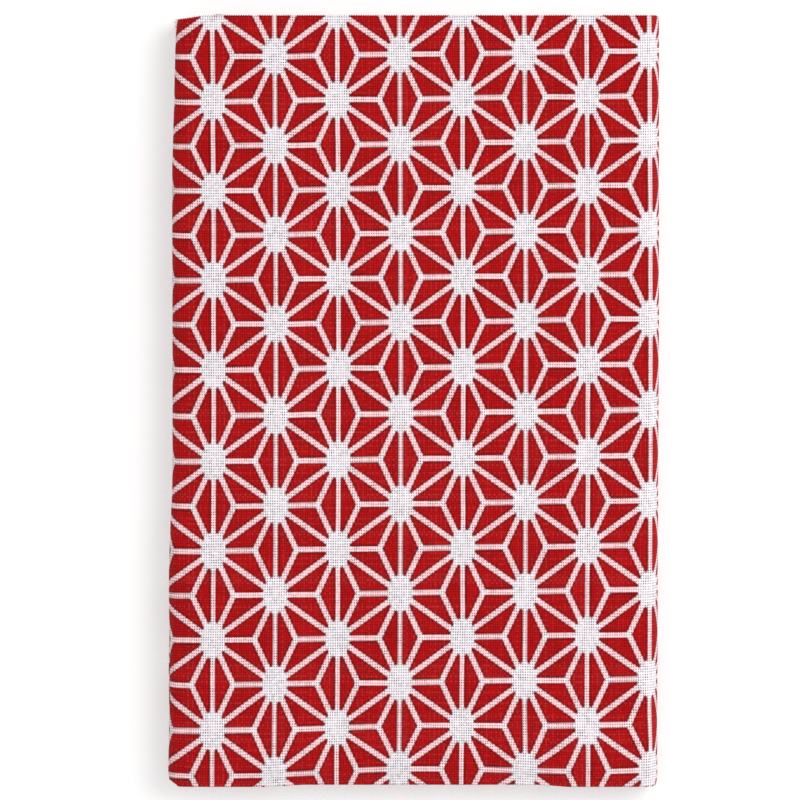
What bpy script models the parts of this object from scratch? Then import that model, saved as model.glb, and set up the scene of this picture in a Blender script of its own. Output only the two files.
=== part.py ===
"""A plain-weave cotton hand towel, folded flat for storage.

The cloth is folded once across its width, so that its two woven side edges meet, and then its length is
halved three times. That makes eight passes of doubled cloth, joined by seven turns. Four turns lie inside
each other along the right-hand side, and three close the left-hand side, above the two cut ends.

+X runs across the packet from its cut ends to the outermost turn, +Y from the width fold to the woven
edges, and +Z up from the surface that the towel rests on. Sizes are in metres.
"""

import math

import bmesh
import bpy
from mathutils import Vector

MM = 0.001

# The flat cloth, and how it is folded.
CLOTH_LENGTH = 900 * MM
CLOTH_WIDTH = 356 * MM
HALVINGS = 3
PASSES = 2**HALVINGS

# A pass is the two plies of the width fold, which lie in contact.
PASS_THICKNESS = 1.0 * MM
AIR_GAP = 0.3 * MM
PITCH = PASS_THICKNESS + AIR_GAP
HALF_PASS = PASS_THICKNESS / 2
PACKET_DEPTH = CLOTH_WIDTH / 2 + HALF_PASS

# The right-hand turns are pressed blunt: what a turn's radius has over the tightest one's counts this much
# for how far it reaches sideways.
BLUNTNESS = 0.45
# A turn that lies inside another one stops short of it by this share of the difference in their radii.
TUCK = 0.28
# How far the cut ends stop short of the left-hand side.
LOWEST_END_INSET = 1.6 * MM
SECOND_END_INSET = 0.7 * MM

# The layers lie less tightly inside the packet than at its rim, so that the top is slightly crowned.
CROWN = 0.07
CROWN_RIM = 8 * MM
# The top layer's edges are straight. Those of the layers under it stop about this much short, and wander.
LAYER_STEP = 0.35 * MM
EDGE_WANDER = 0.3 * MM
FRONT_WAVES = 5.3
BACK_WAVES = 8.7

# The rows of the strip, from the width fold to the woven edges. The packet is a little wider near the width
# fold, and its corners are rounded off. At the fold itself the thickness is rounded off too.
ROWS = [
    # share of depth, left and right insets, left and right corner insets, share of thickness
    (0.000, 0.5 * MM, 0.4 * MM, 2.7 * MM, 0.3 * MM, 0.45),
    (0.002, 0.5 * MM, 0.4 * MM, 1.5 * MM, 0.0 * MM, 1.00),
    (0.005, 0.5 * MM, 0.4 * MM, 0.7 * MM, 0.0 * MM, 1.00),
    (0.017, 0.5 * MM, 0.4 * MM, 0.1 * MM, 0.0 * MM, 1.00),
    (0.045, 0.6 * MM, 0.4 * MM, 0.0 * MM, 0.0 * MM, 1.00),
    (0.120, 0.9 * MM, 0.4 * MM, 0.0 * MM, 0.0 * MM, 1.00),
    (0.190, 0.8 * MM, 0.3 * MM, 0.0 * MM, 0.0 * MM, 1.00),
    (0.270, 0.6 * MM, 0.3 * MM, 0.0 * MM, 0.0 * MM, 1.00),
    (0.340, 1.0 * MM, 0.2 * MM, 0.0 * MM, 0.0 * MM, 1.00),
    (0.390, 1.5 * MM, 0.2 * MM, 0.0 * MM, 0.0 * MM, 1.00),
    (0.600, 1.5 * MM, 0.0 * MM, 0.0 * MM, 0.0 * MM, 1.00),
    (0.800, 1.4 * MM, 0.0 * MM, 0.0 * MM, 0.0 * MM, 1.00),
    (0.880, 1.8 * MM, 0.0 * MM, 0.0 * MM, 0.0 * MM, 1.00),
    (0.970, 2.1 * MM, 0.0 * MM, 0.1 * MM, 0.0 * MM, 1.00),
    (0.990, 2.1 * MM, 0.0 * MM, 0.3 * MM, 0.0 * MM, 1.00),
    (1.000, 2.1 * MM, 0.0 * MM, 0.6 * MM, 0.1 * MM, 1.00),
]
# How far from the packet's side the rounding or sagging of a corner begins.
CORNER_REACH = 7 * MM
# The lowest pass is pressed flat by the rest. Each of its sides is a plain line that leans in by a taper. It
# is drawn in and arched a little at its middle, so that the packet stands on its four corners.
LOWEST_LEFT_TAPER = 1.0 * MM
LOWEST_RIGHT_TAPER = 0.6 * MM
LOWEST_WAIST = 0.2 * MM
LOWEST_ARCH = 0.1 * MM
# The layers sag at the corner between the left-hand side and the woven edges.
CORNER_SAG = 1.0 * MM

# Mesh steps.
STEPS_PER_PASS = 8
LEAST_TURN_STEPS = 4
TURN_STEPS_PER_MM = 1.6

RED_DYE = (0.407, 0.0103, 0.0130, 1.0)


def smooth(low, high, value):
    """0 up to low, 1 from high on, and a smooth rise between them. A high below low turns it round."""
    share = min(1.0, max(0.0, (value - low) / (high - low)))
    return share * share * (3 - 2 * share)


def levels_after_halving():
    """The level, counted from the bottom, at which each pass of the strip lies once it is halved."""
    stacks = [[number] for number in range(PASSES)]
    while len(stacks) > 1:
        half = len(stacks) // 2
        stacks = [stacks[i] + stacks[-1 - i][::-1] for i in range(half)]
    return [stacks[0].index(number) for number in range(PASSES)]


def turns_between(levels):
    """Each turn of the strip: its levels, its side, its radius, and the radius of the turn round it."""
    turns = []
    for i in range(PASSES - 1):
        low, high = sorted(levels[i : i + 2])
        side = 1 if i % 2 == 0 else -1
        turns.append({"low": low, "high": high, "side": side, "radius": (high - low) * PITCH / 2})
    for turn in turns:
        around = [
            other["radius"]
            for other in turns
            if other["side"] == turn["side"] and other["low"] < turn["low"] and turn["high"] < other["high"]
        ]
        turn["outer"] = max(around, default=turn["radius"])
    return turns


def reach(turn):
    """How far a turn bulges sideways from its centre."""
    return PITCH / 2 + BLUNTNESS * (turn["radius"] - PITCH / 2) if turn["side"] == 1 else turn["radius"]


def half_way_round(turn):
    """The length of cloth in a turn, which is half an ellipse."""
    a, b = reach(turn), turn["radius"]
    return math.pi / 2 * (3 * (a + b) - math.sqrt((3 * a + b) * (a + 3 * b)))


def centre_inset(turn):
    """How far a turn's centre lies inside the packet's side."""
    return reach(turn) + HALF_PASS + (1 + TUCK) * (turn["outer"] - turn["radius"])


def pass_insets(turns):
    """How far the left and right ends of each pass lie inside the packet's sides."""
    insets = []
    for i in range(PASSES):
        start = centre_inset(turns[i - 1]) if i > 0 else LOWEST_END_INSET
        end = centre_inset(turns[i]) if i < PASSES - 1 else SECOND_END_INSET
        insets.append((start, end) if i % 2 == 0 else (end, start))
    return insets


def packet_width(turns, insets):
    """The width at which the passes and the turns use up the whole length of the cloth."""
    arcs = sum(half_way_round(turn) for turn in turns)
    return (CLOTH_LENGTH - arcs + sum(left + right for left, right in insets)) / PASSES


def strip_stations(levels, turns, insets, width):
    """Points along the middle of the folded strip: how far across the packet, and at which level."""
    stations = []
    for i in range(PASSES):
        left, right = insets[i]
        ends = (-width / 2 + left, width / 2 - right)
        start, end = ends if i % 2 == 0 else ends[::-1]
        for step in range(STEPS_PER_PASS + 1):
            stations.append((start + (end - start) * step / STEPS_PER_PASS, levels[i]))
        if i < PASSES - 1:
            turn = turns[i]
            middle = (turn["low"] + turn["high"]) / 2
            steps = LEAST_TURN_STEPS + round(turn["radius"] / MM * TURN_STEPS_PER_MM)
            for step in range(1, steps):
                angle = math.pi * step / steps
                across = end + turn["side"] * reach(turn) * math.sin(angle)
                stations.append((across, middle + (levels[i] - middle) * math.cos(angle)))
    return stations


def lengths_along(stations):
    """How far along the cloth each station lies."""
    lengths = [0.0]
    for (x_before, level_before), (x, level) in zip(stations, stations[1:]):
        lengths.append(lengths[-1] + math.hypot(x - x_before, (level - level_before) * PITCH))
    return lengths


def crown(share_back, share_across, width):
    """The share by which the layers lie further apart there than at the packet's rim."""
    back_rim = CROWN_RIM / PACKET_DEPTH
    side_rim = CROWN_RIM / width
    rise = smooth(0, back_rim, share_back) * smooth(1, 1 - back_rim, share_back)
    rise *= smooth(0, side_rim, share_across) * smooth(1, 1 - side_rim, share_across)
    return CROWN * rise


def edge_wander(along, waves):
    """How far an edge of the cloth strays at that length."""
    angle = 2 * math.pi * along / CLOTH_LENGTH * waves
    return EDGE_WANDER * (0.6 * math.sin(angle + 1.9) + 0.4 * math.sin(2.2 * angle))


def hump(share):
    """1 at the middle of a length, falling off to 0 at both of its ends."""
    return 4 * share * (1 - share)


def place(station, along, row, width):
    """The place of the strip's middle at a station and a row."""
    x, level = station
    share_back, left, right, left_corner, right_corner, _ = row
    share_across = x / width + 0.5
    loose = smooth(0, 1, level)
    waist = LOWEST_WAIST * hump(share_back)
    left = loose * left + (1 - loose) * (LOWEST_LEFT_TAPER * share_back + waist)
    right = loose * right + (1 - loose) * (LOWEST_RIGHT_TAPER * (1 - share_back) + waist)
    from_left = share_across * width
    left_corner *= loose * smooth(CORNER_REACH, 0, from_left)
    right_corner *= loose * smooth(CORNER_REACH, 0, width - from_left)
    x += left * (1 - share_across) - right * share_across + left_corner - right_corner
    under = smooth(PASSES - 1, PASSES - 2, level)
    short = under * LAYER_STEP + (1 - loose) * LOWEST_WAIST * hump(share_across)
    sag = loose * CORNER_SAG * max(0, 1 - from_left / CORNER_REACH)
    front = -PACKET_DEPTH / 2 + short + under * loose * edge_wander(along, FRONT_WAVES)
    back = PACKET_DEPTH / 2 - short - under * loose * edge_wander(along, BACK_WAVES) - sag
    y = front + (back - front) * share_back
    arch = (1 - loose) * LOWEST_ARCH * (hump(share_back) + hump(share_across))
    z = HALF_PASS + level * PITCH * (1 + crown(share_back, share_across, width)) + arch
    return x, y, z


def cloth_mesh():
    """The middle of the folded strip as a grid, with the share of thickness in a vertex group."""
    levels = levels_after_halving()
    turns = turns_between(levels)
    insets = pass_insets(turns)
    width = packet_width(turns, insets)
    stations = strip_stations(levels, turns, insets, width)
    lengths = lengths_along(stations)
    last_station = len(stations) - 1
    last_row = len(ROWS) - 1
    grid = bmesh.new()
    bmesh.ops.create_grid(grid, x_segments=last_station, y_segments=last_row, size=0.5)
    fullness = grid.verts.layers.deform.verify()
    for vert in grid.verts:
        i = round((vert.co.x + 0.5) * last_station)
        row = ROWS[round((vert.co.y + 0.5) * last_row)]
        vert.co = place(stations[i], lengths[i], row, width)
        vert[fullness][0] = row[-1]
    mesh = bpy.data.meshes.new("tenugui_towel")
    grid.to_mesh(mesh)
    grid.free()
    return mesh


def set_on_origin(mesh):
    """Moves the cloth so that the origin is under the middle of its outline, on what it rests on."""
    xs, ys, zs = zip(*(vert.co for vert in mesh.vertices))
    middle_x = (min(xs) + max(xs)) / 2
    middle_y = (min(ys) + max(ys)) / 2
    for vert in mesh.vertices:
        vert.co -= Vector((middle_x, middle_y, min(zs) - HALF_PASS))


def dyed_cotton():
    """Red-dyed cotton: fully matt, with a faint nap."""
    material = bpy.data.materials.new("dyed_cotton")
    material.use_nodes = True
    shader = material.node_tree.nodes["Principled BSDF"]
    shader.inputs["Base Color"].default_value = RED_DYE
    shader.inputs["Roughness"].default_value = 0.9
    shader.inputs["Metallic"].default_value = 0.0
    shader.inputs["Sheen Weight"].default_value = 0.15
    return material


def towel(collection):
    """The folded cloth: its middle surface, made solid."""
    mesh = cloth_mesh()
    set_on_origin(mesh)
    mesh.materials.append(dyed_cotton())
    cloth = bpy.data.objects.new("tenugui_towel", mesh)
    cloth.vertex_groups.new(name="fullness")
    collection.objects.link(cloth)
    body = cloth.modifiers.new("thickness", "SOLIDIFY")
    body.thickness = PASS_THICKNESS
    body.offset = 0
    body.use_even_offset = True
    body.use_quality_normals = True
    body.vertex_group = "fullness"


def main():
    for old in list(bpy.data.objects):
        bpy.data.objects.remove(old)
    collection = bpy.data.collections.new("tenugui_towel")
    bpy.context.scene.collection.children.link(collection)
    towel(collection)


main()
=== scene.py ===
"""A folded cotton hand towel with a hemp-leaf print, dressed around its packed solid.

The visible cloth is one thin sheet, folded as its solid is: once across its width and three times along its
length. Its print and its weave are worked out in metres from the sheet's own coordinates.
"""

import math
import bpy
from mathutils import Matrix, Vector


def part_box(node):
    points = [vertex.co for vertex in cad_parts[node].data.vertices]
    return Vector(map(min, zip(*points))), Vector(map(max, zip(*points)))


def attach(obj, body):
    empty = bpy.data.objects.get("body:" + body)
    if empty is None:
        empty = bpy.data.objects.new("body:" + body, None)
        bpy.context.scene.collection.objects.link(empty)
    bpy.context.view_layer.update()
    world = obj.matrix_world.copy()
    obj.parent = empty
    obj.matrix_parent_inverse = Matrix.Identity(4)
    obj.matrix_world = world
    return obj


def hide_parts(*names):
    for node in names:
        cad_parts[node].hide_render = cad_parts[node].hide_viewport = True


bl_info = {
    "name": "Folded tenugui towel",
    "version": (1, 0, 0),
    "blender": (4, 5, 0),
    "location": "View3D > Sidebar > Towel",
    "description": "Builds a folded cotton towel with a hemp-leaf print, and a plain studio for it",
    "category": "Add Mesh",
}

import bmesh
import bpy
import numpy as np
from bpy.props import FloatProperty, FloatVectorProperty, IntProperty, PointerProperty
from mathutils import Vector, noise

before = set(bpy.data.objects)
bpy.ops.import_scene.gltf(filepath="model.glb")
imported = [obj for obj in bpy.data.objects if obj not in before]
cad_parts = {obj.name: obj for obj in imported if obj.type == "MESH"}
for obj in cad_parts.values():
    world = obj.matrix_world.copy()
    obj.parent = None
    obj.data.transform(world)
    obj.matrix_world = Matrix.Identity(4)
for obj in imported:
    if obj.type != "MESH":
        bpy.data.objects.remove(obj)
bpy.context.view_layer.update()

MM = 0.001
NODE = "tenugui_towel"
BODY = "root"
NODE_LOW, NODE_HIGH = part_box(NODE)
NODE_MIDDLE = (NODE_LOW + NODE_HIGH) / 2


def linear(hex_colour):
    """An sRGB hex value as linear red, green and blue."""
    channels = [int(hex_colour[i : i + 2], 16) / 255 for i in (0, 2, 4)]
    return tuple(c / 12.92 if c <= 0.04045 else ((c + 0.055) / 1.055) ** 2.4 for c in channels)


def length(name, description, default):
    """A length property in metres."""
    return FloatProperty(name=name, description=description, default=default, unit="LENGTH", precision=5)


def amount(name, description, default):
    """A property without a unit."""
    return FloatProperty(name=name, description=description, default=default)


def colour(name, description, hex_colour):
    """A colour property, given as an sRGB hex value."""
    default = linear(hex_colour)
    return FloatVectorProperty(name=name, description=description, default=default, subtype="COLOR")


class TowelFold(bpy.types.PropertyGroup):
    """The flat cloth and how it is folded."""

    cloth_length: length("Length", "The cloth's length, along its woven edges", 900 * MM)
    cloth_width: length("Width", "The cloth's width, from one woven edge to the other", 356 * MM)
    ply: length("Ply", "The thickness of one ply of the cloth", 0.42 * MM)
    ply_lift: length("Ply lift", "How far each ply's middle lies from that of its doubled pass", 0.27 * MM)
    pass_thickness: length("Pass", "The thickness of a doubled pass", 1.0 * MM)
    pitch: length("Pitch", "The rise from one doubled pass to the next", 1.3 * MM)
    halvings: IntProperty(name="Halvings", description="How often the doubled strip is halved", default=3)
    bluntness: amount("Bluntness", "How far the right-hand turns reach sideways", 0.45)
    tuck: amount("Tuck", "How far a nested turn stops short, as a share", 0.28)
    lowest_end: length("Lowest end", "How far the lowest cut end stops short", 1.6 * MM)
    second_end: length("Second end", "How far the second cut end stops short", 0.7 * MM)
    crown: amount("Crown", "How much looser the layers are inside the rim", 0.07)
    rim: length("Rim", "How far in the layers are pressed together", 8 * MM)
    corner_sag: length("Corner sag", "How far the layers sag at their loose corner", 1.0 * MM)
    corner_reach: length("Corner reach", "How far the packet's corners are rounded and sag", 7 * MM)
    layer_step: length("Layer step", "How far the lower layers' edges stop short of the top one's", 0.35 * MM)
    edge_wander: length("Edge wander", "How far the edges of the lower layers stray", 0.3 * MM)
    fold_press: amount("Fold press", "How flat the width fold is pressed", 0.10)
    fold_dip: length("Fold dip", "How far the width fold is drawn in over its middle", 0.5 * MM)
    side_press: amount("Side press", "How flat the left-hand side is pressed", 0.06)
    waviness: length("Waviness", "The height of the soft waves in each ply", 0.07 * MM)


class TowelPrint(bpy.types.PropertyGroup):
    """The hemp-leaf lattice that is printed on the cloth."""

    star_x: length("Star X", "The place of one star on the top face", -2.98 * MM)
    star_y: length("Star Y", "The place of one star on the top face", 60.09 * MM)
    columns: length("Columns", "The distance between columns of stars", 14.43 * MM)
    rows: length("Rows", "The distance between the stars of a column", 20.64 * MM)
    line: length("Line", "The width of the lattice's lines", 1.154 * MM)
    upright_trim: length("Upright trim", "How much less an upright line reaches to each side", 0.11 * MM)
    star_half_width: length("Star half width", "Half the width of a star's middle", 2.75 * MM)
    star_half_height: length("Star half height", "Half the height of a star's middle", 4.15 * MM)
    bleed: length("Bleed", "How softly the dye ends along a line", 0.20 * MM)
    skew: amount("Skew", "How much the rows rise towards the right", 0.0139)
    bow: length("Bow", "How far the columns bow within half the depth of the packet", 0.425 * MM)
    bow_y: length("Bow middle", "Where the bow's middle lies along the packet's depth", 6.9 * MM)
    slack: length("Slack", "How much longer the cloth lies across the packet's middle", 0.70 * MM)
    ripple: length("Ripple", "How far the print strays near the width fold", 0.6 * MM)
    ripple_length: length("Ripple length", "How long the waves of the ripple are", 87 * MM)
    drag: length("Drag", "How far the print is dragged sideways at the right end of the width fold", 0.5 * MM)
    dye: colour("Dye", "The red of the printed face", "AE080C")
    ground: colour("Ground", "The undyed cotton", "EDE7EC")
    blush: colour("Blush", "The lines, where a little dye creeps in", "FBD0D4")


class TowelWeave(bpy.types.PropertyGroup):
    """The plain weave of the cloth."""

    warp_spacing: length("Warp spacing", "The distance between warp threads", 0.6185 * MM)
    weft_spacing: length("Weft spacing", "The distance between weft threads", 0.5433 * MM)
    relief: length("Relief", "How far the threads stand proud of the holes between them", 0.16 * MM)
    # The painted shade in the holes between the threads: how strong it is between undyed and between dyed
    # threads.
    hole_shading: amount("Hole Shade", "How dark the holes between undyed threads are", 0.95)
    dyed_hole_shading: amount("Dyed hole shade", "How dark the holes between dyed threads are", 0.8)


class TowelThreads(bpy.types.PropertyGroup):
    """The thread ends at the two cut ends, and the turns of the weft along the two woven edges."""

    thickness: length("Thickness", "How thick a thread is", 0.22 * MM)
    end_length: length("End length", "How long the longest thread end at a cut end is", 1.3 * MM)
    turn_length: length("Turn length", "How long the longest turn of the weft at a woven edge is", 0.45 * MM)
    spread: amount("Spread", "How far the thread ends point apart", 0.22)


class TowelStudio(bpy.types.PropertyGroup):
    """The plain studio: the camera looks straight down, and a soft key light stands to the upper right."""

    view_width: length("View width", "What the camera sees of the floor, from side to side", 185.6 * MM)
    view_shift: length("View shift", "How far left of the towel's middle the camera stands", 3.18 * MM)
    view_rise: length("View rise", "How far behind the towel's middle the camera stands", 0.12 * MM)
    camera_height: length("Camera height", "The camera's height above the floor", 1.5)
    key_power: FloatProperty(name="Key", description="The power of the key light", default=13.4, unit="POWER")
    fill: amount("Fill", "The strength of the light from all round", 0.75)
    floor: colour("Floor", "The translucent white sweep that the towel lies on", "C4C4C3")
    floor_glow: amount("Floor glow", "The light that comes through the sweep", 0.44)


PROPERTY_GROUPS = {
    "towel_fold": TowelFold,
    "towel_print": TowelPrint,
    "towel_weave": TowelWeave,
    "towel_threads": TowelThreads,
    "towel_studio": TowelStudio,
}

# The packet's outline: its solid's, with more rows at the corners and a smaller round at the lower left.
OUTLINE = np.array([
    # share of depth, left and right insets, left and right corner insets, all insets in millimetres
    (0.000, 0.5, 0.4, 1.9, 0.3),
    (0.001, 0.5, 0.4, 1.2, 0.1),
    (0.002, 0.5, 0.4, 0.9, 0.0),
    (0.005, 0.5, 0.4, 0.4, 0.0),
    (0.009, 0.5, 0.4, 0.1, 0.0),
    (0.017, 0.5, 0.4, 0.0, 0.0),
    (0.045, 0.6, 0.4, 0.0, 0.0),
    (0.120, 0.9, 0.4, 0.0, 0.0),
    (0.190, 0.8, 0.3, 0.0, 0.0),
    (0.270, 0.6, 0.3, 0.0, 0.0),
    (0.340, 1.0, 0.2, 0.0, 0.0),
    (0.390, 1.5, 0.2, 0.0, 0.0),
    (0.600, 1.5, 0.0, 0.0, 0.0),
    (0.800, 1.4, 0.0, 0.0, 0.0),
    (0.880, 1.8, 0.0, 0.0, 0.0),
    (0.970, 2.1, 0.0, 0.1, 0.0),
    (0.990, 2.1, 0.0, 0.3, 0.0),
    (1.000, 2.1, 0.0, 0.6, 0.1),
])
# The lowest pass is pressed flat by the rest. Its sides lean in by these tapers, and are drawn in a little.
LOWEST_LEFT_TAPER = 1.0 * MM
LOWEST_RIGHT_TAPER = 0.6 * MM
LOWEST_WAIST = 0.2 * MM
LOWEST_ARCH = 0.1 * MM
# A lower layer shows in two places: past the top layer's woven edge, and past the turn at its left.
PEEK_BACK = {"middle": -44.5 * MM, "half_width": 4.5 * MM, "reach": 0.65 * MM, "levels": (5.5, 6.5)}
PEEK_LEFT = {"middle": 0.14, "half_width": 0.09, "reach": 0.4 * MM, "levels": (1.5, 3.5)}
PEEK_LEFT_INWARD = 0.2
# The width fold is drawn in over this stretch of its length, and runs straight beside it.
FOLD_DIP = {"middle": 1.7 * MM, "full": 28 * MM, "none": 34 * MM}
# The uneven waves along the lower layers' edges: how many the cloth's length holds, how much closer the
# smaller ones follow each other, and where they start.
FRONT_WAVES, BACK_WAVES, PLY_WAVES = 5.3, 8.7, 13
QUICK_WAVES = 2.2
WAVE_PHASE, PLY_PHASE = 1.9, 2.3
# The soft waves in each ply, which differ from ply to ply, and are calmer near the width fold and the left.
LONG_WAVE, SHORT_WAVE = 26 * MM, 11 * MM
SHORT_WAVE_SHARE = 0.6
PLY_SHIFT = 50 * MM
CALM_AT_FOLD, CALM_AT_SIDE = 5 * MM, 6 * MM
LEAST_WAVES = 0.3
# How far in the width fold and the left-hand side are pressed.
FOLD_PRESS_REACH, SIDE_PRESS_REACH = 3.5 * MM, 6 * MM
# Where the print strays: near the width fold, where its slack starts, and where it is dragged sideways.
NEAR_FOLD, CLEAR_OF_FOLD = 7 * MM, 20 * MM
SLACK_REACH = 17 * MM
DRAG_START, DRAG_END = 10 * MM, 38 * MM

# Mesh steps of the visible sheet.
FLAT_STEP = 3.6 * MM
TURN_STEP = 0.45 * MM
ROWS_PER_PLY = 42
ROW_CROWDING = 0.75
HAIRPIN_STEPS = 8

# Where the lines blush, in widths of a line, and where the dye has its dark rim, in widths of the bleed.
BLUSH_SPAN = (-0.4, 1.6)
RIM_SPAN = (3.0, 1.0)
RIM_SHARE = 0.9
# How much red, green and blue light is left on the rim.
RIM_SHADE = (0.45, 0.6, 0.6, 1.0)
# The dye is stronger and weaker in clouds about this long.
CLOUD_LENGTH = 100 / 13 * MM
# How much of the dye shows on the cloth's reverse and in its loose yarn.
REVERSE_DYE, YARN_DYE = 0.72, 0.8
YARN_PLY = 1 / 9 * MM

# The threads drift to and fro over this length, by about this much.
DRIFT_LENGTH = 50 / 3 * MM
DRIFT = 0.15 * MM
# How the threads fall away from their crests, and the holes between them, in thread spacings.
THREAD_ROUNDING, THREAD_ARCHING = 3.2, 1.6
HOLE_REACH = (0.30, 0.52)
HOLE_CORE = 0.16
# How deep the painted shade in each hole may be, at random from hole to hole.
HOLE_DARKNESS = (0.35, 1.25)
# Painted shade in the holes between the threads: how much red, green and blue light is left there.
HOLE_SHADE = (0.10, 0.06, 0.06, 1.0)
PRINT_STEP = 0.35
# The shortest thread end and weft turn, as shares of the longest.
SHORTEST_END, SHORTEST_TURN = 0.3, 0.6

# How two colours are mixed.
MIXED = {"data_type": "RGBA"}
MULTIPLIED = {"data_type": "RGBA", "blend_type": "MULTIPLY"}

# The key light and the floor.
WHITE = (*linear("FFFFFF"), 1.0)
KEY_SIZE = 0.9
KEY_PLACE = (0.85, 0.45, 1.12)
FLOOR_HALF_SIZE = 2.0


def smooth(low, high, value):
    """0 up to low, 1 from high on, and a smooth rise between them. A high below low turns it round."""
    share = np.clip((value - low) / (high - low), 0, 1)
    return share * share * (3 - 2 * share)


def levels_after_halving(halvings):
    """The level, counted from the bottom, at which each pass of the strip lies once it is halved."""
    stacks = [[number] for number in range(2**halvings)]
    while len(stacks) > 1:
        half = len(stacks) // 2
        stacks = [stacks[i] + stacks[-1 - i][::-1] for i in range(half)]
    return [stacks[0].index(number) for number in range(2**halvings)]


def turn_list(levels, pitch):
    """Each turn of the strip: its levels, its side, its radius, and the radius of the turn round it."""
    turns = []
    for i in range(len(levels) - 1):
        low, high = sorted(levels[i : i + 2])
        side = 1 if i % 2 == 0 else -1
        turns.append({"low": low, "high": high, "side": side, "radius": (high - low) * pitch / 2})
    for turn in turns:
        around = [
            other["radius"]
            for other in turns
            if other["side"] == turn["side"] and other["low"] < turn["low"] and turn["high"] < other["high"]
        ]
        turn["outer"] = max(around, default=turn["radius"])
    return turns


def reach(turn, fold):
    """How far a turn bulges sideways from its centre. The right-hand turns are pressed blunt."""
    if turn["side"] < 0:
        return turn["radius"]
    return fold.pitch / 2 + fold.bluntness * (turn["radius"] - fold.pitch / 2)


def half_way_round(turn, fold):
    """The length of cloth in a turn, which is half an ellipse."""
    a, b = reach(turn, fold), turn["radius"]
    return math.pi / 2 * (3 * (a + b) - math.sqrt((3 * a + b) * (a + 3 * b)))


def pass_insets(i, turns, fold):
    """How far the left and right ends of a pass lie inside the packet's sides."""
    short = [(1 + fold.tuck) * (turn["outer"] - turn["radius"]) for turn in turns]
    centres = [reach(turn, fold) + fold.pass_thickness / 2 + gap for turn, gap in zip(turns, short)]
    start = centres[i - 1] if i > 0 else fold.lowest_end
    end = centres[i] if i < len(centres) else fold.second_end
    return (start, end) if i % 2 == 0 else (end, start)


class Strip:
    """The folded strip's middle line, seen from its end: points, directions and length along the cloth."""

    def __init__(self, fold):
        self.levels = levels_after_halving(fold.halvings)
        self.turns = turn_list(self.levels, fold.pitch)
        insets = [pass_insets(i, self.turns, fold) for i in range(len(self.levels))]
        arcs = sum(half_way_round(turn, fold) for turn in self.turns)
        total = fold.cloth_length - arcs + sum(left + right for left, right in insets)
        self.width = total / len(self.levels)
        points = []
        for i in range(len(self.levels)):
            points += self.pass_points(i, insets[i])
            if i < len(self.turns):
                points += self.turn_points(i, points[-1][0], fold)
        self.x, self.level, self.ahead_x, self.ahead_z, self.pass_number = np.array(points).T
        steps = np.hypot(np.diff(self.x), np.diff(self.level) * fold.pitch)
        self.along = np.concatenate([[0], np.cumsum(steps)])

    def pass_points(self, i, insets):
        ends = (-self.width / 2 + insets[0], self.width / 2 - insets[1])
        start, end = ends if i % 2 == 0 else ends[::-1]
        ahead = math.copysign(1, end - start)
        count = round(abs(end - start) / FLAT_STEP)
        return [(start + (end - start) * k / count, self.levels[i], ahead, 0, i) for k in range(count + 1)]

    def turn_points(self, i, end, fold):
        turn = self.turns[i]
        middle = (turn["low"] + turn["high"]) / 2
        rise = self.levels[i] - middle
        bulge = turn["side"] * reach(turn, fold)
        count = 4 + round(half_way_round(turn, fold) / TURN_STEP)
        points = []
        for k in range(1, count):
            angle = math.pi * k / count
            ahead = Vector((bulge * math.cos(angle), -rise * fold.pitch * math.sin(angle))).normalized()
            x, level = end + bulge * math.sin(angle), middle + rise * math.cos(angle)
            points.append((x, level, ahead.x, ahead.y, i + 0.5))
        return points


def hump(share):
    """1 at the middle of a length, falling off to 0 at both of its ends."""
    return 4 * share * (1 - share)


def peek(spec, value, level):
    """How far a layer shows past the others at a place along its edge."""
    bump = smooth(spec["half_width"], 0, np.abs(value - spec["middle"]))
    low, high = spec["levels"]
    return spec["reach"] * bump * ((level >= low) & (level <= high))


def fold_dip(x, fold):
    """How far the width fold is drawn in at a place along it."""
    return fold.fold_dip * smooth(FOLD_DIP["none"], FOLD_DIP["full"], np.abs(x - FOLD_DIP["middle"]))


def row_shares():
    """The rows of one ply, as shares of the packet's depth from back to front, closer at both ends."""
    even = np.linspace(0, 1, ROWS_PER_PLY)
    eased = 0.5 - 0.5 * np.cos(math.pi * even)
    return 1 - (ROW_CROWDING * eased + (1 - ROW_CROWDING) * even)


def edge_waves(angle, count):
    """How an edge strays along the cloth, from -1 to 1, in about so many uneven waves."""
    return 0.6 * np.sin(angle * count + WAVE_PHASE) + 0.4 * np.sin(QUICK_WAVES * angle * count)


def soft_noise(points, scale, seed):
    """Smooth noise from about -1 to 1 at each point of a grid, with waves about as long as scale."""
    shift = Vector((seed * 7.13, seed * 3.71, seed * 1.37))
    flat = points.reshape(-1, 3)
    values = [noise.noise(Vector(point) / scale + shift) for point in flat]
    return np.array(values).reshape(points.shape[:-1])


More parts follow.
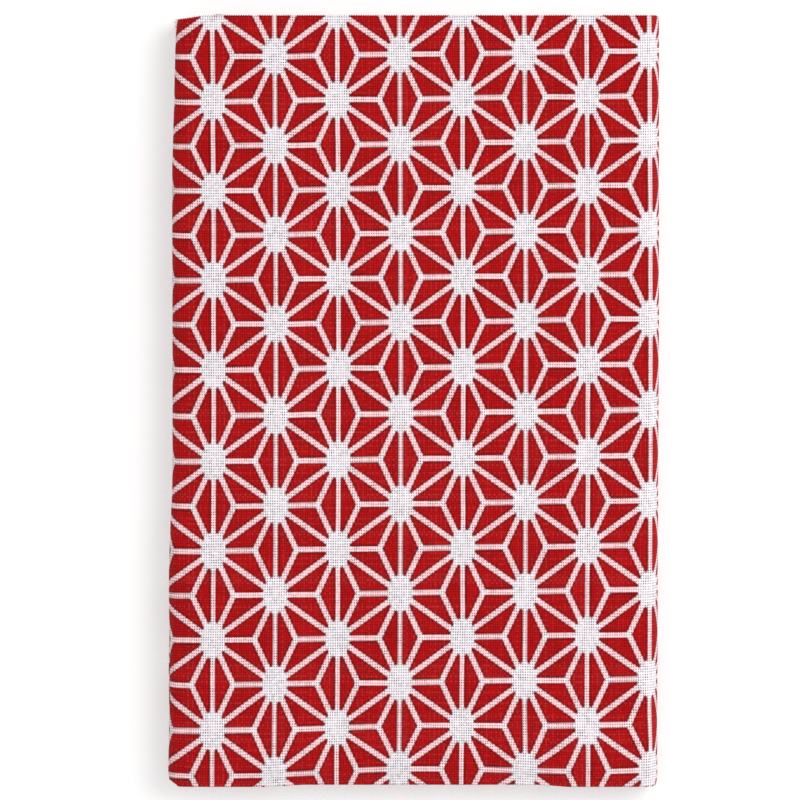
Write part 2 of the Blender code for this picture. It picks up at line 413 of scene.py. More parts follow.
class Sheet:
    """The middle surface of the visible sheet, as a grid of points.

    A row of the grid crosses the strip, from one woven edge round the width fold to the other. A column runs
    from one cut end to the other. share is the place from the fold to the woven edges, side tells the plies
    apart, and bulge is how far a point lies out in the width fold.
    """

    def __init__(self, fold):
        self.fold = fold
        self.strip = Strip(fold)
        self.depth = fold.cloth_width / 2 + fold.pass_thickness / 2
        shares = row_shares()
        angles = np.linspace(0, math.pi, HAIRPIN_STEPS + 1)[1:-1]
        ply, flat, at_fold = np.ones(len(shares)), np.zeros(len(shares)), np.zeros(len(angles))
        self.share = np.concatenate([shares, at_fold, shares[::-1]])[None, :]
        self.side = np.concatenate([-ply, -np.cos(angles), ply])[None, :]
        self.bulge = np.concatenate([flat, np.sin(angles), flat])[None, :]
        self.level = self.strip.level[:, None]
        self.across = self.strip.x[:, None] / self.strip.width + 0.5
        self.loose = smooth(0, 1, self.level)

    def place_x(self):
        """Where each point lies from side to side, within the packet's outline."""
        share, across, loose = self.share, self.across, self.loose
        insets = [np.interp(share, OUTLINE[:, 0], column * MM) for column in OUTLINE.T[1:]]
        left, right, left_corner, right_corner = insets
        waist = LOWEST_WAIST * hump(share)
        left = loose * left + (1 - loose) * (LOWEST_LEFT_TAPER * share + waist)
        right = loose * right + (1 - loose) * (LOWEST_RIGHT_TAPER * (1 - share) + waist)
        left = left - peek(PEEK_LEFT, share, self.level) * smooth(PEEK_LEFT_INWARD, 0, across)
        corner = 2 * self.fold.corner_reach
        near_left = loose * smooth(corner, 0, across * self.strip.width)
        near_right = loose * smooth(corner, 0, (1 - across) * self.strip.width)
        x = self.strip.x[:, None] + left * (1 - across) - right * across
        return x + left_corner * near_left - right_corner * near_right

    def under(self):
        """0 in the top layer, and 1 in the layers whose edges stop short of it."""
        top_level = len(self.strip.levels) - 1
        under = smooth(top_level, top_level - 1, self.level)
        # The top layer's two turns keep flush with it down to their middle, where they end its outline.
        for i, turn in enumerate(self.strip.turns[:2]):
            middle = (turn["low"] + turn["high"]) / 2
            in_turn = self.strip.pass_number[:, None] == i + 0.5
            under = np.where(in_turn, smooth(middle, turn["low"], self.level), under)
        return under

    def place_y(self, place_x):
        """Where each point lies from the width fold to the woven edges."""
        fold, share, across, loose = self.fold, self.share, self.across, self.loose
        under = self.under()
        hairpin = fold.ply_lift + fold.ply / 2
        angle = 2 * math.pi * self.strip.along[:, None] / fold.cloth_length
        front = edge_waves(angle, FRONT_WAVES)
        back = edge_waves(angle, BACK_WAVES) + 0.5 * np.sin(angle * PLY_WAVES + self.side * PLY_PHASE)
        short = under * fold.layer_step + (1 - loose) * LOWEST_WAIST * hump(across)
        sag = loose * fold.corner_sag * np.clip(1 - across * self.strip.width / fold.corner_reach, 0, 1)
        front = -self.depth / 2 + hairpin + short + under * loose * fold.edge_wander * front
        front = front + fold_dip(place_x, fold)
        back = self.depth / 2 - short - under * loose * fold.edge_wander * back - sag
        back = back + peek(PEEK_BACK, place_x, self.level)
        return front + (back - front) * share - fold.ply_lift * self.bulge

    def pass_height(self):
        """The height of the middle of each doubled pass."""
        fold, share, across = self.fold, self.share, self.across
        rim = fold.rim / self.depth
        rise = smooth(0, rim, share) * smooth(1, 1 - rim, share)
        rim = fold.rim / self.strip.width
        rise = rise * smooth(0, rim, across) * smooth(1, 1 - rim, across)
        press = fold.fold_press * smooth(FOLD_PRESS_REACH / self.depth, 0, share)
        press = press + fold.side_press * smooth(SIDE_PRESS_REACH / self.strip.width, 0, across)
        arch = (1 - self.loose) * LOWEST_ARCH * (hump(share) + hump(across))
        return fold.pass_thickness / 2 + self.level * fold.pitch * (1 + fold.crown * rise - press) + arch

    def waves(self, place_x, place_y):
        """The soft waves in each ply, which die away at the lowest pass, the width fold and the left."""
        ply = np.sign(self.side) + 3 * self.strip.pass_number[:, None]
        spots = np.stack(np.broadcast_arrays(place_x, place_y, ply * PLY_SHIFT), axis=-1)
        wave = soft_noise(spots, LONG_WAVE, 1) + SHORT_WAVE_SHARE * soft_noise(spots, SHORT_WAVE, 2)
        calm = smooth(0.5, 1.0, self.level) * smooth(0, CALM_AT_FOLD / self.depth, self.share)
        at_side = smooth(0, CALM_AT_SIDE / self.strip.width, self.across)
        return self.fold.waviness * wave * (calm * (LEAST_WAVES + (1 - LEAST_WAVES) * at_side))

    def points(self):
        """The grid, with its middle over the origin."""
        place_x = self.place_x()
        place_y = self.place_y(place_x)
        # Each ply lies to one side of the middle of its doubled pass.
        lift = self.side * self.fold.ply_lift
        lifted_x = place_x - self.strip.ahead_z[:, None] * lift
        height = self.pass_height() + self.strip.ahead_x[:, None] * lift
        points = np.stack(np.broadcast_arrays(lifted_x, place_y, height), axis=-1)
        points[..., 2] += self.waves(place_x, place_y)
        middle = (points.min(axis=(0, 1)) + points.max(axis=(0, 1))) / 2
        points[..., :2] -= middle[:2]
        return points


def print_coordinates(strip, points, fold, lattice):
    """Where each point lies on the printed cloth, in metres from one star: along the cloth, and across it."""
    steps = np.linalg.norm(np.diff(points, axis=0)[..., [0, 2]], axis=-1)
    along = np.concatenate([np.zeros((1, points.shape[1])), np.cumsum(steps, axis=0)])
    # The top pass runs leftwards, so that its points are in falling order of x.
    top = np.nonzero(strip.pass_number == 1)[0][::-1]
    at_star = [np.interp(lattice.star_x, points[top, j, 0], along[top, j]) for j in range(points.shape[1])]
    steps = np.linalg.norm(np.diff(points, axis=1)[..., 1:], axis=-1)
    across = np.concatenate([np.zeros((len(points), 1)), np.cumsum(steps, axis=1)], axis=1)
    fold_row = ROWS_PER_PLY + HAIRPIN_STEPS // 2
    from_fold = np.abs(across - across[:, fold_row : fold_row + 1])
    first_ply = np.arange(points.shape[1])[None, :] <= fold_row
    depth = fold.cloth_width / 2
    straight_y = from_fold - depth / 2
    bow = lattice.bow * ((straight_y - lattice.bow_y) / (depth / 2)) ** 2
    slack = lattice.slack * smooth(SLACK_REACH, -SLACK_REACH, straight_y)
    u = np.array(at_star)[None, :] - along + bow
    v = np.where(first_ply, straight_y, -straight_y - depth) - lattice.star_y
    v += np.where(first_ply, slack, lattice.slack) + fold_dip(points[..., 0], fold)
    near_fold = smooth(CLEAR_OF_FOLD, NEAR_FOLD, from_fold)
    u -= lattice.drag * near_fold * smooth(DRAG_START, DRAG_END, points[..., 0])
    v -= lattice.ripple * near_fold * np.cos(2 * math.pi * points[..., 0] / lattice.ripple_length)
    return np.stack([u, v], axis=-1)


def grid_mesh(name, points, coordinates):
    """A mesh of a grid of points, with its UV map in metres."""
    rows, columns = points.shape[:2]
    work = bmesh.new()
    bmesh.ops.create_grid(work, x_segments=rows - 1, y_segments=columns - 1, size=0.5)
    uv_map = work.loops.layers.uv.new("cloth")
    places = {}
    for vert in work.verts:
        i, j = round((vert.co.x + 0.5) * (rows - 1)), round((vert.co.y + 0.5) * (columns - 1))
        places[vert] = (i, j)
        vert.co = points[i, j]
    for face in work.faces:
        face.smooth = True
        for loop in face.loops:
            loop[uv_map].uv = coordinates[places[loop.vert]]
    mesh = bpy.data.meshes.new(name)
    work.to_mesh(mesh)
    work.free()
    return mesh


def apply_modifiers(obj):
    """Turns the object into a plain mesh with its modifiers applied."""
    evaluated = obj.evaluated_get(bpy.context.evaluated_depsgraph_get())
    mesh = bpy.data.meshes.new_from_object(evaluated)
    mesh.name = obj.name
    obj.modifiers.clear()
    obj.data = mesh


def set_inputs(tree, node, inputs):
    """Links or sets a node's inputs, by number or by name. A node given means its first output in use."""
    for key, value in inputs.items():
        if isinstance(key, int):
            target = node.inputs[key]
        else:
            target = next(socket for socket in node.inputs if socket.enabled and socket.name == key)
        if isinstance(value, bpy.types.Node):
            value = next(socket for socket in value.outputs if socket.enabled)
        if isinstance(value, bpy.types.NodeSocket):
            tree.links.new(value, target)
        else:
            target.default_value = value


def add_node(tree, kind, inputs=None, **settings):
    """Adds a node with its settings, and links or sets its inputs."""
    node = tree.nodes.new(kind)
    for name, value in settings.items():
        setattr(node, name, value)
    set_inputs(tree, node, inputs or {})
    return node


def add_sockets(tree, in_out, kind, *names):
    """Adds inputs or outputs of one kind to a node group."""
    for name in names:
        tree.interface.new_socket(name, in_out=in_out, socket_type="NodeSocket" + kind)


def edge_line(name, points, outward, coordinates):
    """A line along an edge of the sheet. Its points hold the way out of the cloth and the print's place."""
    mesh = bpy.data.meshes.new(name)
    mesh.from_pydata(points, [(i, i + 1) for i in range(len(points) - 1)], [])
    way = mesh.attributes.new("outward", "FLOAT_VECTOR", "POINT")
    way.data.foreach_set("vector", np.tile(outward, len(points)))
    place = mesh.attributes.new("print_place", "FLOAT_VECTOR", "POINT")
    place.data.foreach_set("vector", np.pad(coordinates, ((0, 0), (0, 1))).ravel())
    return mesh


def threads_tree(material):
    """A tree of geometry nodes that sets threads at even steps along a line, as spindles that point out."""
    tree = bpy.data.node_groups.new("threads along an edge", "GeometryNodeTree")
    add_sockets(tree, "INPUT", "Geometry", "Geometry")
    add_sockets(tree, "INPUT", "Float", "Spacing", "Thickness", "Shortest", "Longest", "Spread")
    add_sockets(tree, "OUTPUT", "Geometry", "Geometry")
    given = add_node(tree, "NodeGroupInput").outputs
    line = add_node(tree, "GeometryNodeMeshToCurve", {"Mesh": given["Geometry"]})
    inputs = {"Curve": line, "Length": given["Spacing"]}
    stops = add_node(tree, "GeometryNodeResampleCurve", inputs, mode="LENGTH")
    outward = add_node(tree, "GeometryNodeInputNamedAttribute", {"Name": "outward"}, data_type="FLOAT_VECTOR")
    ends = {"Min": (-1.0, -1.0, -0.5), "Max": (1.0, 1.0, 0.5), "Seed": 3}
    astray = add_node(tree, "FunctionNodeRandomValue", ends, data_type="FLOAT_VECTOR")
    astray = add_node(tree, "ShaderNodeVectorMath", {0: astray, "Scale": given["Spread"]}, operation="SCALE")
    way = add_node(tree, "ShaderNodeVectorMath", {0: outward, 1: astray}, operation="ADD")
    turned = add_node(tree, "FunctionNodeAlignRotationToVector", {"Vector": way}, axis="X")
    ends = {"Min": given["Shortest"], "Max": given["Longest"], "Seed": 5}
    long = add_node(tree, "FunctionNodeRandomValue", ends, data_type="FLOAT")
    size = add_node(tree, "ShaderNodeCombineXYZ", {0: long, 1: given["Thickness"], 2: given["Thickness"]})
    spindle = add_node(tree, "GeometryNodeMeshIcoSphere", {"Radius": 0.5, "Subdivisions": 1})
    spindle = add_node(tree, "GeometryNodeTransform", {"Geometry": spindle, "Translation": (0.2, 0.0, 0.0)})
    inputs = {"Points": stops, "Instance": spindle, "Rotation": turned, "Scale": size}
    threads = add_node(tree, "GeometryNodeInstanceOnPoints", inputs)
    threads = add_node(tree, "GeometryNodeRealizeInstances", {"Geometry": threads})
    threads = add_node(tree, "GeometryNodeSetShadeSmooth", {"Geometry": threads})
    threads = add_node(tree, "GeometryNodeSetMaterial", {"Geometry": threads, "Material": material})
    add_node(tree, "NodeGroupOutput", {"Geometry": threads})
    return tree


def threads_along(line, tree, sizes):
    """An object with a thread at even steps along a line, as a plain mesh."""
    obj = bpy.data.objects.new(line.name, line)
    bpy.context.scene.collection.objects.link(obj)
    nodes = obj.modifiers.new("threads", "NODES")
    nodes.node_group = tree
    for socket in tree.interface.items_tree:
        if socket.in_out == "INPUT" and socket.name in sizes:
            nodes[socket.identifier] = sizes[socket.name]
    apply_modifiers(obj)
    return obj


def lattice_group(lattice):
    """A node group for the lattice: its undyed lines and stars, the edge of the dye, and the lines' blush."""
    tree = bpy.data.node_groups.new("hemp leaf lattice", "ShaderNodeTree")
    add_sockets(tree, "INPUT", "Vector", "Place")
    add_sockets(tree, "OUTPUT", "Float", "Undyed", "Edge", "Blush")
    parts = add_node(tree, "ShaderNodeSeparateXYZ", {0: add_node(tree, "NodeGroupInput")})
    u = parts.outputs[0]
    inputs = {0: u, 1: -lattice.skew, 2: parts.outputs[1]}
    lean = add_node(tree, "ShaderNodeMath", inputs, operation="MULTIPLY_ADD")
    # Each star stands in a column, and every other column is half a row further up.
    column = add_node(tree, "ShaderNodeMath", {0: u, 1: lattice.columns}, operation="DIVIDE")
    nearest = add_node(tree, "ShaderNodeMath", {0: column}, operation="ROUND")
    odd = add_node(tree, "ShaderNodeMath", {0: nearest, 1: 2.0}, operation="FLOORED_MODULO")
    half_row = lattice.rows / 2
    lifted = add_node(tree, "ShaderNodeMath", {0: odd, 1: half_row, 2: lean}, operation="MULTIPLY_ADD")
    # The distances from the nearest star, right or left of it and above or below it.
    x = add_node(tree, "ShaderNodeMath", {0: u, 1: lattice.columns / 2}, operation="PINGPONG")
    y = add_node(tree, "ShaderNodeMath", {0: lifted, 1: half_row}, operation="PINGPONG")
    upright = add_node(tree, "ShaderNodeMath", {0: x, 1: lattice.upright_trim}, operation="ADD")
    nearest_line = add_node(tree, "ShaderNodeMath", {0: upright, 1: y}, operation="MINIMUM")
    # The lines that leave a star at a slant, towards the next star and towards the middle of a triangle.
    for aside in (lattice.columns, lattice.columns / 3):
        slant = math.hypot(aside, half_row)
        rise = add_node(tree, "ShaderNodeMath", {0: x, 1: half_row / slant}, operation="MULTIPLY")
        off = add_node(tree, "ShaderNodeMath", {0: y, 1: -aside / slant, 2: rise}, operation="MULTIPLY_ADD")
        distance = add_node(tree, "ShaderNodeMath", {0: off}, operation="ABSOLUTE")
        nearest_line = add_node(tree, "ShaderNodeMath", {0: nearest_line, 1: distance}, operation="MINIMUM")
    # The level line from the middle of a triangle to the star beyond it.
    beside = add_node(tree, "ShaderNodeMath", {0: lattice.columns / 3, 1: x}, operation="SUBTRACT")
    short = add_node(tree, "ShaderNodeMath", {0: beside, 1: 0.0}, operation="MAXIMUM")
    down = add_node(tree, "ShaderNodeMath", {0: half_row, 1: y}, operation="SUBTRACT")
    corner = add_node(tree, "ShaderNodeCombineXYZ", {0: short, 1: down})
    level = add_node(tree, "ShaderNodeVectorMath", {0: corner}, operation="LENGTH")
    nearest_line = add_node(tree, "ShaderNodeMath", {0: nearest_line, 1: level}, operation="MINIMUM")
    # The star's own middle, an ellipse, as a distance outside it.
    star = add_node(tree, "ShaderNodeCombineXYZ", {0: x, 1: y})
    squash = (1 / lattice.star_half_width, 1 / lattice.star_half_height, 0)
    star = add_node(tree, "ShaderNodeVectorMath", {0: star, 1: squash}, operation="MULTIPLY")
    star = add_node(tree, "ShaderNodeVectorMath", {0: star}, operation="LENGTH")
    star = add_node(tree, "ShaderNodeMath", {0: star, 1: 1.0}, operation="SUBTRACT")
    size = (lattice.star_half_width + lattice.star_half_height) / 2
    star = add_node(tree, "ShaderNodeMath", {0: star, 1: size}, operation="MULTIPLY")
    line = add_node(tree, "ShaderNodeMath", {0: nearest_line, 1: lattice.line / 2}, operation="SUBTRACT")
    inputs = {0: line, 1: star, 2: lattice.line / 2}
    outside = add_node(tree, "ShaderNodeMath", inputs, operation="SMOOTH_MIN")
    meeting = add_node(tree, "ShaderNodeCombineXYZ", {0: beside, 1: down})
    meeting = add_node(tree, "ShaderNodeVectorMath", {0: meeting}, operation="LENGTH")
    spans = (
        (outside, (1, -1), lattice.bleed),
        (outside, RIM_SPAN, lattice.bleed),
        (star, BLUSH_SPAN, lattice.line),
        (meeting, BLUSH_SPAN, lattice.line),
    )
    ramps = []
    for distance, (low, high), width in spans:
        inputs = {"Value": distance, "From Min": low * width, "From Max": high * width}
        ramps.append(add_node(tree, "ShaderNodeMapRange", inputs, interpolation_type="SMOOTHSTEP"))
    undyed, edge, off_star, off_meeting = ramps
    # The dye creeps into the undyed lines, but not into a star or the place where three lines meet.
    blush = add_node(tree, "ShaderNodeMath", {0: off_star, 1: off_meeting}, operation="MULTIPLY")
    add_node(tree, "NodeGroupOutput", {"Undyed": undyed, "Edge": edge, "Blush": blush})
    return tree


def weave_group(weave):
    """A node group for the plain weave: its height, the holes' painted shade, and a tint per thread."""
    tree = bpy.data.node_groups.new("plain weave", "ShaderNodeTree")
    add_sockets(tree, "INPUT", "Vector", "Place")
    add_sockets(tree, "OUTPUT", "Float", "Height", "Hole Shade", "Tint")
    add_sockets(tree, "OUTPUT", "Vector", "Thread Place")
    place = add_node(tree, "NodeGroupInput").outputs["Place"]
    # The threads don't run quite straight.
    inputs = {"Vector": place, "Scale": 1 / DRIFT_LENGTH, "Detail": 1.0}
    drift = add_node(tree, "ShaderNodeTexNoise", inputs, normalize=False).outputs["Color"]
    drift = add_node(tree, "ShaderNodeVectorMath", {0: drift, "Scale": DRIFT}, operation="SCALE")
    moved = add_node(tree, "ShaderNodeVectorMath", {0: place, 1: drift}, operation="ADD")
    per_thread = (1 / weave.weft_spacing, 1 / weave.warp_spacing, 0)
    threads = add_node(tree, "ShaderNodeVectorMath", {0: moved, 1: per_thread}, operation="MULTIPLY")
    number = add_node(tree, "ShaderNodeVectorMath", {0: threads, 1: (0.5, 0.5, 0.5)}, operation="ADD")
    number = add_node(tree, "ShaderNodeVectorMath", {0: number}, operation="FLOOR")
    offset = add_node(tree, "ShaderNodeVectorMath", {0: threads, 1: number}, operation="SUBTRACT")
    offset = add_node(tree, "ShaderNodeVectorMath", {0: offset}, operation="ABSOLUTE")
    parts = add_node(tree, "ShaderNodeSeparateXYZ", {0: offset})
    counts = add_node(tree, "ShaderNodeSeparateXYZ", {0: number})
    total = add_node(tree, "ShaderNodeMath", {0: counts.outputs[0], 1: counts.outputs[1]}, operation="ADD")
    warp_up = add_node(tree, "ShaderNodeMath", {0: total, 1: 2.0}, operation="FLOORED_MODULO")
    heights = []
    for over, under in ((0, 1), (1, 0)):
        # A thread is round across, and arches over the one that it crosses.
        height = 1.0
        for k, fall in ((under, THREAD_ROUNDING), (over, THREAD_ARCHING)):
            square = add_node(tree, "ShaderNodeMath", {0: parts.outputs[k], 1: 2.0}, operation="POWER")
            inputs = {0: square, 1: -fall, 2: height}
            height = add_node(tree, "ShaderNodeMath", inputs, operation="MULTIPLY_ADD")
        heights.append(height)
    inputs = {"Factor": warp_up, "A": heights[0], "B": heights[1]}
    height = add_node(tree, "ShaderNodeMix", inputs, data_type="FLOAT")
    corner = add_node(tree, "ShaderNodeVectorMath", {0: offset, 1: (0.5, 0.5, 0.0)}, operation="SUBTRACT")
    corner = add_node(tree, "ShaderNodeVectorMath", {0: corner}, operation="LENGTH")
    # Some holes are wider than others, and some hold deeper painted shade.
    chance = add_node(tree, "ShaderNodeTexWhiteNoise", {"Vector": number}, noise_dimensions="3D")
    chance = add_node(tree, "ShaderNodeSeparateXYZ", {0: chance.outputs["Color"]})
    wide, dark = [
        add_node(tree, "ShaderNodeMapRange", {"Value": chance.outputs[k], "To Min": low, "To Max": high})
        for k, (low, high) in enumerate((HOLE_REACH, HOLE_DARKNESS))
    ]
    inputs = {"Value": corner, "From Min": wide, "From Max": HOLE_CORE}
    hole_shading = add_node(tree, "ShaderNodeMapRange", inputs, interpolation_type="SMOOTHSTEP")
    hole_shading = add_node(tree, "ShaderNodeMath", {0: hole_shading, 1: dark}, operation="MULTIPLY", use_clamp=True)
    # Each thread is a little lighter or darker than the next.
    tints = [
        add_node(tree, "ShaderNodeTexWhiteNoise", {"W": counts.outputs[k]}, noise_dimensions="1D")
        for k in (1, 0)
    ]
    inputs = {"Factor": warp_up, "A": tints[0], "B": tints[1]}
    tint = add_node(tree, "ShaderNodeMix", inputs, data_type="FLOAT")
    spacing = (weave.weft_spacing, weave.warp_spacing, 0)
    centre = add_node(tree, "ShaderNodeVectorMath", {0: number, 1: spacing}, operation="MULTIPLY")
    # The print ends in small steps, because each thread takes up dye as a whole.
    inputs = {"Factor": PRINT_STEP, "A": place, "B": centre}
    snapped = add_node(tree, "ShaderNodeMix", inputs, data_type="VECTOR")
    add_node(tree, "NodeGroupOutput", {"Height": height, "Hole Shade": hole_shading, "Tint": tint, "Thread Place": snapped})
    return tree


def new_material(name):
    """A new material, its node tree and its shader."""
    material = bpy.data.materials.new(name)
    material.use_nodes = True
    return material, material.node_tree, material.node_tree.nodes["Principled BSDF"]


def loose_cotton_yarn(lattice, group):
    """Single cotton yarn, soft and fully matt, dyed where the print reaches it, and less so at its heart."""
    material, tree, shader = new_material("loose_cotton_yarn")
    place = add_node(tree, "ShaderNodeAttribute", attribute_name="print_place").outputs["Vector"]
    figure = add_node(tree, "ShaderNodeGroup", {"Place": place}, node_tree=group)
    dye = tuple(g + (d - g) * YARN_DYE for g, d in zip(lattice.ground, lattice.dye))
    inputs = {"Factor": figure.outputs["Undyed"], "A": (*dye, 1.0), "B": (*lattice.ground, 1.0)}
    yarn = add_node(tree, "ShaderNodeMix", inputs, **MIXED)
    # The plies of the yarn, as faint light and dark stripes.
    inside = add_node(tree, "ShaderNodeTexCoord").outputs["Object"]
    plies = add_node(tree, "ShaderNodeTexNoise", {"Vector": inside, "Scale": 1 / YARN_PLY, "Detail": 1.0})
    plies = add_node(tree, "ShaderNodeMapRange", {"Value": plies, "To Min": 0.7, "To Max": 1.2})
    striped = add_node(tree, "ShaderNodeMix", {"Factor": 1.0, "A": yarn, "B": plies}, **MULTIPLIED)
    feel = {"Roughness": 0.95, "Specular IOR Level": 0.1, "Sheen Weight": 0.05}
    set_inputs(tree, shader, {"Base Color": striped, **feel})
    return material


def printed_cotton(name, lattice, weave, groups, dye_share):
    """Plain-weave cotton, printed with reactive dye: fully matt, with a faint nap, painted shade in the holes
    and painted highlights on some threads.

    dye_share is how much of the dye shows: 1 on the printed face, less on the reverse.
    """
    material, tree, shader = new_material(name)
    place = add_node(tree, "ShaderNodeUVMap", uv_map="cloth").outputs["UV"]
    threads = add_node(tree, "ShaderNodeGroup", {"Place": place}, node_tree=groups["weave"])
    inputs = {"Place": threads.outputs["Thread Place"]}
    figure = add_node(tree, "ShaderNodeGroup", inputs, node_tree=groups["lattice"])
    # The dye is a little stronger in some places, and gathers where it ends.
    cloud = add_node(tree, "ShaderNodeTexNoise", {"Vector": place, "Scale": 1 / CLOUD_LENGTH, "Detail": 3.0})
    cloud = add_node(tree, "ShaderNodeMapRange", {"Value": cloud, "To Min": 0.78, "To Max": 1.22})
    dye = tuple(g + (d - g) * dye_share for g, d in zip(lattice.ground, lattice.dye))
    inputs = {"Factor": figure.outputs["Blush"], "A": (*lattice.ground, 1.0), "B": (*lattice.blush, 1.0)}
    ground = add_node(tree, "ShaderNodeMix", inputs, **MIXED)
    tinted = add_node(tree, "ShaderNodeMix", {"Factor": 1.0, "A": (*dye, 1.0), "B": cloud}, **MULTIPLIED)
    # Painted highlights: some threads, picked at random, are lightened a little towards the ground colour.
    inputs = {"Value": threads.outputs["Tint"], "From Min": 0.6, "To Max": 0.016}
    thread_highlight = add_node(tree, "ShaderNodeMapRange", inputs)
    inputs = {"Factor": thread_highlight, "A": tinted, "B": (*lattice.ground, 1.0)}
    highlighted = add_node(tree, "ShaderNodeMix", inputs, **MIXED)
    edge = add_node(tree, "ShaderNodeMath", {0: figure.outputs["Edge"], 1: RIM_SHARE}, operation="MULTIPLY")
    rimmed = add_node(tree, "ShaderNodeMix", {"Factor": edge, "A": highlighted, "B": RIM_SHADE}, **MULTIPLIED)
    inputs = {"Factor": figure.outputs["Undyed"], "A": rimmed, "B": ground}
    figured = add_node(tree, "ShaderNodeMix", inputs, **MIXED)
    inputs = {"Value": threads.outputs["Tint"], "To Min": 0.93, "To Max": 1.05}
    tint = add_node(tree, "ShaderNodeMapRange", inputs)
    threaded = add_node(tree, "ShaderNodeMix", {"Factor": 1.0, "A": figured, "B": tint}, **MULTIPLIED)
    # The painted shade in the holes is weaker between dyed threads.
    inputs = {"Value": figure.outputs["Undyed"], "To Min": weave.dyed_hole_shading, "To Max": weave.hole_shading}
    shown = add_node(tree, "ShaderNodeMapRange", inputs)
    depth = add_node(tree, "ShaderNodeMath", {0: threads.outputs["Hole Shade"], 1: shown}, operation="MULTIPLY")
    hole_shaded = add_node(tree, "ShaderNodeMix", {"Factor": depth, "A": threaded, "B": HOLE_SHADE}, **MULTIPLIED)
    inputs = {"Height": threads.outputs["Height"], "Distance": weave.relief / 2, "Strength": 0.4}
    bump = add_node(tree, "ShaderNodeBump", inputs)
    feel = {"Roughness": 0.92, "Specular IOR Level": 0.12, "Sheen Weight": 0.03, "Sheen Roughness": 0.5}
    set_inputs(tree, shader, {"Base Color": hole_shaded, "Normal": bump, **feel})
    return material


class TOWEL_OT_folded_cloth(bpy.types.Operator):
    """Folds the printed sheet as its solid is folded, and puts it in the solid's place"""

    bl_idname = "towel.folded_cloth"
    bl_label = "Folded cloth"

    def execute(self, context):
        scene = context.scene
        fold, lattice, weave = scene.towel_fold, scene.towel_print, scene.towel_weave
        sheet = Sheet(fold)
        points = sheet.points()
        coordinates = print_coordinates(sheet.strip, points, fold, lattice)
        mesh = grid_mesh("printed_cloth", points, coordinates)
        groups = {"lattice": lattice_group(lattice), "weave": weave_group(weave)}
        mesh.materials.append(printed_cotton("printed_cotton_face", lattice, weave, groups, 1.0))
        mesh.materials.append(printed_cotton("printed_cotton_reverse", lattice, weave, groups, REVERSE_DYE))
        cloth = bpy.data.objects.new("printed_cloth", mesh)
        scene.collection.objects.link(cloth)
        body = cloth.modifiers.new("ply", "SOLIDIFY")
        body.thickness = fold.ply
        body.offset = 0
        body.use_even_offset = True
        body.use_quality_normals = True
        body.material_offset = 1
        apply_modifiers(cloth)
        threads = self.add_threads(scene, points, coordinates, loose_cotton_yarn(lattice, groups["lattice"]))
        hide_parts(NODE)
        for piece in (cloth, *threads):
            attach(piece, BODY)
        return {"FINISHED"}

    def add_threads(self, scene, points, coordinates, yarn):
        weave, threads = scene.towel_weave, scene.towel_threads
        tree = threads_tree(yarn)
        # The spacing of the threads, the longest one's length, and the shortest one's share of it.
        cut = (weave.warp_spacing, threads.end_length, SHORTEST_END)
        woven = (weave.weft_spacing, threads.turn_length, SHORTEST_TURN)
        edges = {
            "lower_cut_end": (np.s_[0], (-1, 0, 0), cut),
            "upper_cut_end": (np.s_[-1], (-1, 0, 0), cut),
            "first_woven_edge": (np.s_[:, 0], (0, 1, 0), woven),
            "second_woven_edge": (np.s_[:, -1], (0, 1, 0), woven),
        }
        made = []
        for name, (along, outward, (spacing, longest, least)) in edges.items():
            line = edge_line(name, points[along], outward, coordinates[along])
            sizes = {"Spacing": spacing, "Thickness": threads.thickness, "Spread": threads.spread}
            sizes.update({"Shortest": least * longest, "Longest": longest})
            made.append(threads_along(line, tree, sizes))
        return made


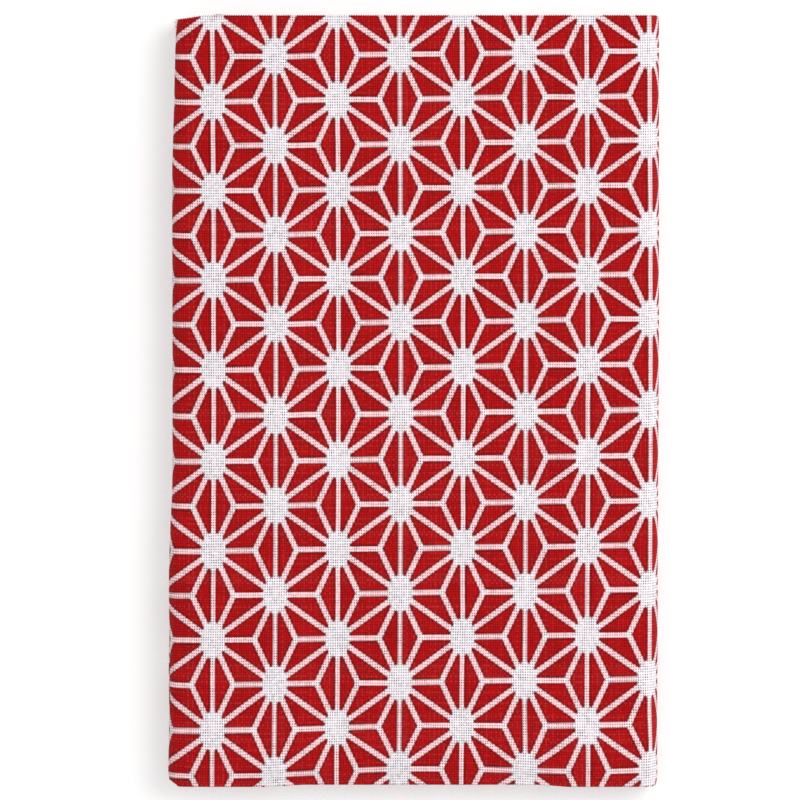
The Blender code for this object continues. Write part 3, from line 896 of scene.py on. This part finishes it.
class TOWEL_OT_studio(bpy.types.Operator):
    """Adds the white sweep, the soft lights and the camera that looks straight down"""

    bl_idname = "towel.studio"
    bl_label = "Studio"

    def execute(self, context):
        scene = context.scene
        studio = scene.towel_studio
        self.add_floor(scene, studio)
        self.add_lights(scene, studio)
        self.add_camera(scene, studio)
        scene.view_settings.view_transform = "Standard"
        # The slow prefilter takes the weave for noise and wipes it away.
        scene.cycles.denoising_prefilter = "FAST"
        return {"FINISHED"}

    def add_floor(self, scene, studio):
        work = bmesh.new()
        bmesh.ops.create_grid(work, x_segments=1, y_segments=1, size=FLOOR_HALF_SIZE)
        mesh = bpy.data.meshes.new("floor")
        work.to_mesh(mesh)
        work.free()
        floor = bpy.data.objects.new("floor", mesh)
        scene.collection.objects.link(floor)
        material, tree, shader = new_material("white_paper_sweep")
        inputs = {
            "Base Color": (*studio.floor, 1.0),
            "Roughness": 0.8,
            "Specular IOR Level": 0.1,
            "Emission Color": WHITE,
            "Emission Strength": studio.floor_glow,
        }
        set_inputs(tree, shader, inputs)
        mesh.materials.append(material)

    def add_lights(self, scene, studio):
        data = bpy.data.lights.new("softbox", "AREA")
        data.shape = "SQUARE"
        data.size = KEY_SIZE
        data.energy = studio.key_power
        softbox = bpy.data.objects.new("softbox", data)
        softbox.location = KEY_PLACE
        softbox.rotation_euler = (-softbox.location).to_track_quat("-Z", "Y").to_euler()
        scene.collection.objects.link(softbox)
        world = bpy.data.worlds.new("studio")
        world.use_nodes = True
        inputs = {"Color": WHITE, "Strength": studio.fill}
        set_inputs(world.node_tree, world.node_tree.nodes["Background"], inputs)
        scene.world = world

    def add_camera(self, scene, studio):
        data = bpy.data.cameras.new("camera")
        data.sensor_width = 36.0
        data.lens = data.sensor_width * (studio.camera_height - NODE_MIDDLE.z) / studio.view_width
        camera = bpy.data.objects.new("camera", data)
        place = (NODE_MIDDLE.x - studio.view_shift, NODE_MIDDLE.y + studio.view_rise, studio.camera_height)
        camera.location = place
        scene.collection.objects.link(camera)
        scene.camera = camera


class TOWEL_PT_panel(bpy.types.Panel):
    """The towel's sizes and colours, and what builds it"""

    bl_idname = "TOWEL_PT_panel"
    bl_label = "Folded towel"
    bl_space_type = "VIEW_3D"
    bl_region_type = "UI"
    bl_category = "Towel"

    def draw(self, context):
        layout = self.layout
        for name, group in PROPERTY_GROUPS.items():
            box = layout.box()
            box.label(text=group.__doc__)
            for field in group.__annotations__:
                box.prop(getattr(context.scene, name), field)
        for operator in OPERATORS:
            layout.operator(operator.bl_idname)


OPERATORS = (TOWEL_OT_folded_cloth, TOWEL_OT_studio)


def register():
    for group in PROPERTY_GROUPS.values():
        bpy.utils.register_class(group)
    for operator in OPERATORS:
        bpy.utils.register_class(operator)
    bpy.utils.register_class(TOWEL_PT_panel)
    for name, group in PROPERTY_GROUPS.items():
        setattr(bpy.types.Scene, name, PointerProperty(type=group))


def unregister():
    for name in PROPERTY_GROUPS:
        delattr(bpy.types.Scene, name)
    bpy.utils.unregister_class(TOWEL_PT_panel)
    for operator in reversed(OPERATORS):
        bpy.utils.unregister_class(operator)
    for group in reversed(PROPERTY_GROUPS.values()):
        bpy.utils.unregister_class(group)


def main():
    register()
    bpy.ops.towel.studio()
    bpy.ops.towel.folded_cloth()


if __name__ == "__main__":
    main()
